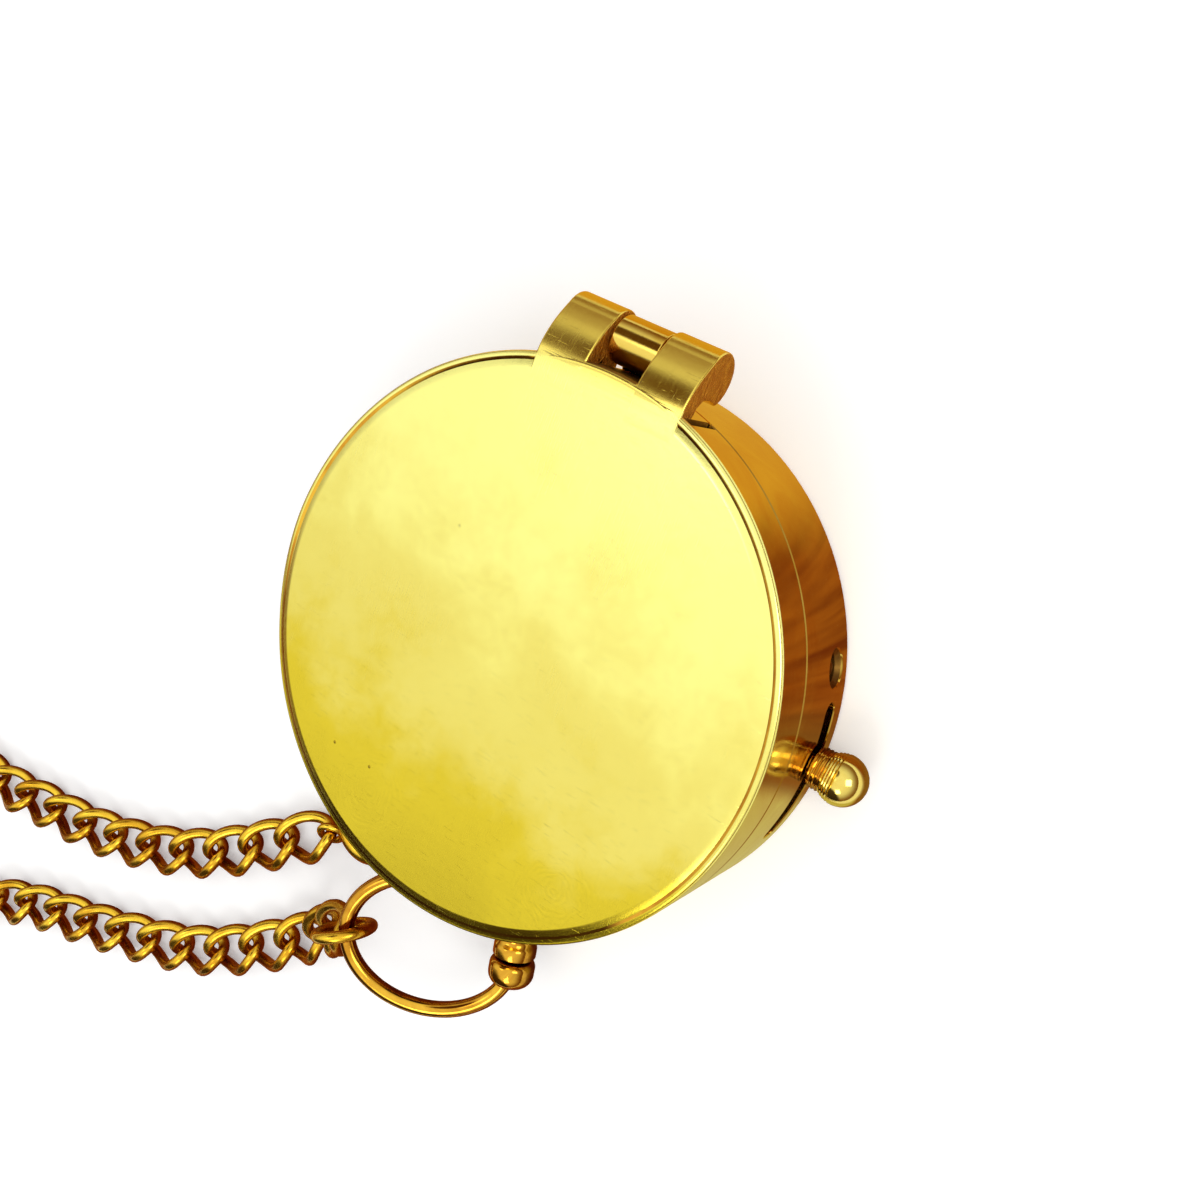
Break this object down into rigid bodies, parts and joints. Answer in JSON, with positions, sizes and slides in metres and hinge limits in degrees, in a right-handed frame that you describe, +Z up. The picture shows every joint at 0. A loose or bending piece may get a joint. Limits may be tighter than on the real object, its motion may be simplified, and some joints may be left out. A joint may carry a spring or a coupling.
{
  "type": "magnetic compass",
  "caption": "Round brass pocket compass with hinged flat lid, side lock knob in a curved slot, needle on a pivot under glass, and a pendant bow with a curb chain and spring ring clasp.",
  "frame": {"origin": "centre of the case's flat back, on which it lies", "axes": "+Z up through the lid, +Y towards the lid's hinge, +X towards the lock knob"},
  "size_m": [0.2013, 0.1758, 0.0251],
  "materials": {
    "polished_brass": "polished, finely scratched",
    "satin_brass": "satin",
    "dial_enamel": "painted dial",
    "blued_steel": "blued",
    "glass": "clear"
  },
  "bodies": {
    "case": {"case_body": "polished_brass", "dial_plate": "dial_enamel", "chapter_ring": "polished_brass", "glass": "glass", "bezel_ring": "polished_brass", "pivot_post": "polished_brass", "side_screw": "polished_brass", "pendant_post": "polished_brass", "hinge_pin": "polished_brass"},
    "lid": {"lid": "polished_brass"},
    "lock": {"lock_ring": "polished_brass", "knob_stem": "polished_brass", "knob_ball": "polished_brass"},
    "lifter": {"needle_lifter": "polished_brass"},
    "needle": {"needle": "blued_steel", "needle_cap": "polished_brass"},
    "bow": {"bow": "polished_brass"},
    "chain_start": {"jump_ring": "satin_brass", "chain_link_01": "satin_brass", "chain_link_02": "satin_brass", "chain_link_03": "satin_brass", "chain_link_04": "satin_brass"},
    "chain_run_1": {"chain_link_05": "satin_brass", "chain_link_06": "satin_brass", "chain_link_07": "satin_brass", "chain_link_08": "satin_brass", "chain_link_09": "satin_brass"},
    "chain_run_2": {"chain_link_10": "satin_brass", "chain_link_11": "satin_brass", "chain_link_12": "satin_brass", "chain_link_13": "satin_brass", "chain_link_14": "satin_brass", "chain_link_15": "satin_brass"},
    "chain_run_3": {"chain_link_16": "satin_brass", "chain_link_17": "satin_brass", "chain_link_18": "satin_brass", "chain_link_19": "satin_brass", "chain_link_20": "satin_brass", "chain_link_21": "satin_brass", "chain_link_22": "satin_brass", "chain_link_23": "satin_brass", "chain_link_24": "satin_brass", "chain_link_25": "satin_brass", "chain_link_26": "satin_brass", "chain_link_27": "satin_brass", "chain_link_28": "satin_brass", "chain_link_29": "satin_brass", "chain_link_30": "satin_brass"},
    "chain_run_4": {"chain_link_31": "satin_brass", "chain_link_32": "satin_brass", "chain_link_33": "satin_brass", "chain_link_34": "satin_brass"},
    "chain_end": {"chain_link_35": "satin_brass", "chain_link_36": "satin_brass", "chain_link_37": "satin_brass", "clasp_body": "satin_brass"},
    "clasp_bolt": {"clasp_bolt": "satin_brass"}
  },
  "joints": [
    {"name": "lid_hinge", "type": "hinge", "parent": "case", "child": "lid", "pos_m": [0, 0.0417, 0.0188], "axis": [-1, 0, 0], "range_deg": [0, 175]},
    {"name": "lock_turn", "type": "hinge", "parent": "case", "child": "lock", "pos_m": [0, 0, 0.005], "axis": [0, 0, 1], "range_deg": [-15, 9]},
    {"name": "lifter_lift", "type": "slide", "parent": "case", "child": "lifter", "axis": [0, 0, 1], "range_m": [-0.00033, 0.00055]},
    {"name": "needle_spin", "type": "hinge", "parent": "case", "child": "needle", "pos_m": [0, 0, 0.0142], "axis": [0, 0, 1], "continuous": true},
    {"name": "bow_swing", "type": "hinge", "parent": "case", "child": "bow", "pos_m": [0.0117, -0.04872, 0.007], "axis": [-0.2334, 0.9724, 0], "range_deg": [0, 20]},
    {"name": "chain_swing", "type": "hinge", "parent": "bow", "child": "chain_start", "pos_m": [-0.01153, -0.0545, 0.01571], "axis": [-0.3901, 0.9188, 0.06], "range_deg": [0, 25]},
    {"name": "chain_bend_1", "type": "hinge", "parent": "chain_start", "child": "chain_run_1", "pos_m": [-0.0357, -0.07855, 0.00249], "axis": [0, 0, 1], "range_deg": [-6, 12]},
    {"name": "chain_bend_2", "type": "hinge", "parent": "chain_run_1", "child": "chain_run_2", "pos_m": [-0.07313, -0.09812, 0.0025], "axis": [0, 0, 1], "range_deg": [0, 12]},
    {"name": "chain_bend_3", "type": "hinge", "parent": "chain_run_2", "child": "chain_run_3", "pos_m": [-0.11776, -0.12226, 0.0025], "axis": [0, 0, 1], "range_deg": [0, 12]},
    {"name": "chain_bend_4", "type": "hinge", "parent": "chain_run_3", "child": "chain_run_4", "pos_m": [-0.08069, -0.08114, 0.0025], "axis": [0, 0, 1], "range_deg": [0, 8]},
    {"name": "chain_bend_5", "type": "hinge", "parent": "chain_run_4", "child": "chain_end", "pos_m": [-0.04968, -0.0678, 0.0025], "axis": [0, 0, 1], "range_deg": [0, 12]},
    {"name": "bolt_slide", "type": "hinge", "parent": "chain_end", "child": "clasp_bolt", "pos_m": [-0.02277, -0.04589, 0.00165], "axis": [0, 0, -1], "range_deg": [0, 40], "stiffness_Nm_per_rad": 0.007, "springref_deg": -17.19}
  ],
  "couplings": [
    {"joint": "lifter_lift", "follows": "lock_turn", "m_per_rad": -0.002083}
  ]
}
